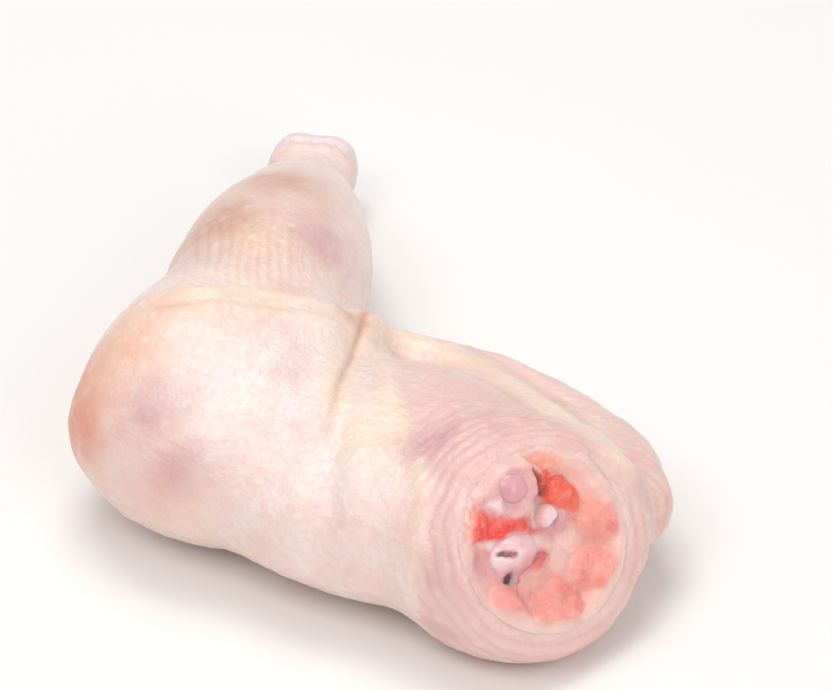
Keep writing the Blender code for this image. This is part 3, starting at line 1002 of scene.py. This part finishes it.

# %% [markdown]
# Raw meat
#
# This is muscle cut across: wet, grainy with the ends of its fibres, and wrapped in pale,
# silvery film. It is redder and glossier than the skin. Over a pale pink go the fat at the
# rim, then the patches, then blood, film and seams, then painted shade in the hollows, and
# the slit and the pit, painted dark as shade, come last.

# %% Meat material
def make_meat_material():
    material, tree, shader = new_material("raw_chicken_meat")
    where = add_node(tree, "ShaderNodeTexCoord", {}, {}).outputs["Object"]
    layers = [
        ("edge_fat", "#f8d3ca", 0.85),
        ("pale", "#f8cbc4", 0.85),
        ("salmon", "#f2958a", 0.85),
        ("flesh", "#f9a590", 0.85),
        ("orange", "#f9583c", 0.95),
        ("red", "#f83a30", 1.0),
        ("rose", "#dd5a68", 0.85),
        ("ball_film", "#dc9ca6", 0.80),
        ("purple", "#cf8799", 0.60),
        ("blood", "#d93b36", 0.30),
        ("film", "#f1cfcd", 0.55),
        ("white", "#fdf0f2", 0.80),
        ("seam", "#f9d3c9", 0.45),
        # Painted shade in the hollows
        ("hollow_shade", "#dd9c98", 0.40),
        # Painted shade in the pit and the slit
        ("pit", "#5c0f16", 0.95),
        ("dark", "#8a1512", 0.95),
    ]
    colour = layered_colour(tree, linear("#f7b5aa"), layers)

    # Paler blotches about 3 mm apart
    blotch = add_node(tree, "ShaderNodeTexNoise", {},
                      {"Vector": where, "Scale": per_metre(3.0), "Detail": 4.0})
    blotch_share = add_node(tree, "ShaderNodeMapRange", {},
                            {0: blotch.outputs["Fac"], 1: 0.45, 2: 0.72, 3: 0.0, 4: 0.22})
    colour = blend_colour(tree, blotch_share.outputs[0], colour, linear("#f4beb0"))

    # Ends of fibres, drawn 0.9 mm wide, with a paler net between them
    fibres = add_node(tree, "ShaderNodeTexVoronoi", {"feature": "DISTANCE_TO_EDGE"},
                      {"Vector": where, "Scale": per_metre(0.9)})
    fibre_edge = add_node(tree, "ShaderNodeMapRange", {},
                          {0: fibres.outputs["Distance"], 1: 0.12, 2: 0.0, 3: 0.0, 4: 0.08})
    colour = blend_colour(tree, fibre_edge.outputs[0], colour, linear("#f6d2c6"))
    tree.links.new(colour, shader.inputs["Base Color"])
    rough = add_node(tree, "ShaderNodeMapRange", {},
                     {0: blotch.outputs["Fac"], 1: 0.3, 2: 0.7, 3: 0.28, 4: 0.42})
    tree.links.new(rough.outputs[0], shader.inputs["Roughness"])
    bump = add_node(tree, "ShaderNodeBump", {},
                    {"Strength": 0.45, "Distance": 0.0004, "Height": fibres.outputs["Distance"]})
    tree.links.new(bump.outputs[0], shader.inputs["Normal"])
    tree.links.new(bump.outputs[0], shader.inputs["Coat Normal"])
    shader.inputs["IOR"].default_value = 1.40
    shader.inputs["Subsurface Weight"].default_value = 0.35
    shader.inputs["Subsurface Radius"].default_value = (1.0, 0.30, 0.22)
    shader.inputs["Subsurface Scale"].default_value = 0.0022
    shader.inputs["Coat Weight"].default_value = 0.6
    shader.inputs["Coat Roughness"].default_value = 0.12
    shader.inputs["Coat IOR"].default_value = 1.34
    return material


meat.data.materials.append(make_meat_material())
print("Meat:", meat.data.materials[0].name)

# %% [markdown]
# Bone and gristle
#
# Gristle is glassy, pearl white to lilac, and lets light in, and the holes in it are dark
# with marrow. It is the smoothest thing in the cut, so it takes the sharpest gloss.

# %% Gristle material
def make_bone_material():
    material, tree, shader = new_material("bone_and_gristle")
    where = add_node(tree, "ShaderNodeTexCoord", {}, {}).outputs["Object"]
    layers = [
        ("ball", "#df9aa4", 0.85),
        ("lilac", "#c98d9b", 0.70),
        ("shaft", "#f5c8bd", 0.7),
        ("marrow", "#e8606a", 0.85),
        ("hole", "#521a22", 0.95),
    ]
    colour = layered_colour(tree, linear("#f3dadb"), layers)

    # A blush of blood in soft spots about 4 mm apart
    blush = add_node(tree, "ShaderNodeTexNoise", {},
                     {"Vector": where, "Scale": per_metre(4.0), "Detail": 3.0})
    blush_share = add_node(tree, "ShaderNodeMapRange", {},
                           {0: blush.outputs["Fac"], 1: 0.45, 2: 0.7, 3: 0.0, 4: 0.6})
    colour = blend_colour(tree, blush_share.outputs[0], colour, linear("#f2aab0"))
    tree.links.new(colour, shader.inputs["Base Color"])
    bump = add_node(tree, "ShaderNodeBump", {},
                    {"Strength": 0.2, "Distance": 0.0003, "Height": blush.outputs["Fac"]})
    tree.links.new(bump.outputs[0], shader.inputs["Normal"])
    shader.inputs["Roughness"].default_value = 0.26
    shader.inputs["IOR"].default_value = 1.45
    shader.inputs["Subsurface Weight"].default_value = 0.4
    shader.inputs["Subsurface Radius"].default_value = (1.0, 0.5, 0.4)
    shader.inputs["Subsurface Scale"].default_value = 0.0018
    shader.inputs["Coat Weight"].default_value = 0.5
    shader.inputs["Coat Roughness"].default_value = 0.1
    return material


bone.data.materials.append(make_bone_material())
print("Bone:", bone.data.materials[0].name)

# %% [markdown]
# Tie the pieces to the frame
#
# Every piece rides on the one body. The skin and the meat together stand for the leg's
# solid, and the fine bone stands for the plain one.

# %% Ride and replace
for piece, node, slot in ((skin, "leg", "skin"), (meat, "leg", None), (bone, "thigh_bone", "bone")):
    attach(piece, "root")
    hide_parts(node)

# %% [markdown]
# Floor, light and camera
#
# The photograph is bright and soft, with hardly any shadow, so three wide softboxes stand
# above, in front and to the right of the leg, and the white surroundings do the rest. The
# camera stands about 1.4 m away with a long lens, 35 degrees above the table.

# %% Floor
bpy.ops.mesh.primitive_plane_add(size=6.0, location=(0, 0, 0))
floor = bpy.context.object
floor.name = "pale_floor"
floor_material, floor_tree, floor_shader = new_material("pale_matt_card")
floor_shader.inputs["Base Color"].default_value = linear("#f4f2f0")
floor_shader.inputs["Roughness"].default_value = 0.7
floor.data.materials.append(floor_material)
floor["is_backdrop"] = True

# %% Light
WORLD_LIGHT = 0.45


def add_softbox(name, place, size, power):
    # A square light of a size in metres and a power in watts that faces the leg
    bpy.ops.object.light_add(type="AREA", location=place)
    box = bpy.context.object
    box.name = name
    box.data.size = size
    box.data.energy = power
    box.rotation_euler = (-Vector(place)).to_track_quat("-Z", "Y").to_euler()


world = bpy.data.worlds.new("white_studio")
bpy.context.scene.world = world
world.use_nodes = True
world.node_tree.nodes["Background"].inputs["Color"].default_value = (1, 1, 1, 1)
world.node_tree.nodes["Background"].inputs["Strength"].default_value = WORLD_LIGHT
add_softbox("softbox_above", (-0.20, 0.20, 0.90), 0.55, 4.0)
add_softbox("softbox_front", (-0.15, -0.60, 0.85), 0.55, 2.3)
add_softbox("softbox_right", (0.75, -0.45, 0.55), 0.60, 2.8)
bpy.context.scene.view_settings.view_transform = "Standard"

# %% Camera
AZIMUTH = 30.1
ELEVATION = 34.7
ROLL = -2.0
DISTANCE = 1.36
LENS = 270.0

low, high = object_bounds()
target = (low + high) / 2
azimuth = math.radians(AZIMUTH)
elevation = math.radians(ELEVATION)
back = Vector((
    math.sin(azimuth) * math.cos(elevation),
    -math.cos(azimuth) * math.cos(elevation),
    math.sin(elevation),
))
camera = bpy.data.objects.new("camera", bpy.data.cameras.new("camera"))
bpy.context.scene.collection.objects.link(camera)
camera.location = target + back * DISTANCE
aim = (-back).to_track_quat("-Z", "Y").to_matrix() @ Euler((0, 0, math.radians(ROLL))).to_matrix()
camera.rotation_euler = aim.to_euler()
camera.data.lens = LENS
camera.data.sensor_width = 36.0
camera.data.clip_start = 0.05
camera.data.clip_end = 20.0
bpy.context.scene.camera = camera

# %% Measure how far the pieces grew, and finish
low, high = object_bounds()
print("Grew by mm:", [round(g / MM, 2) for g in (*(cad_low - low), *(high - cad_high))])
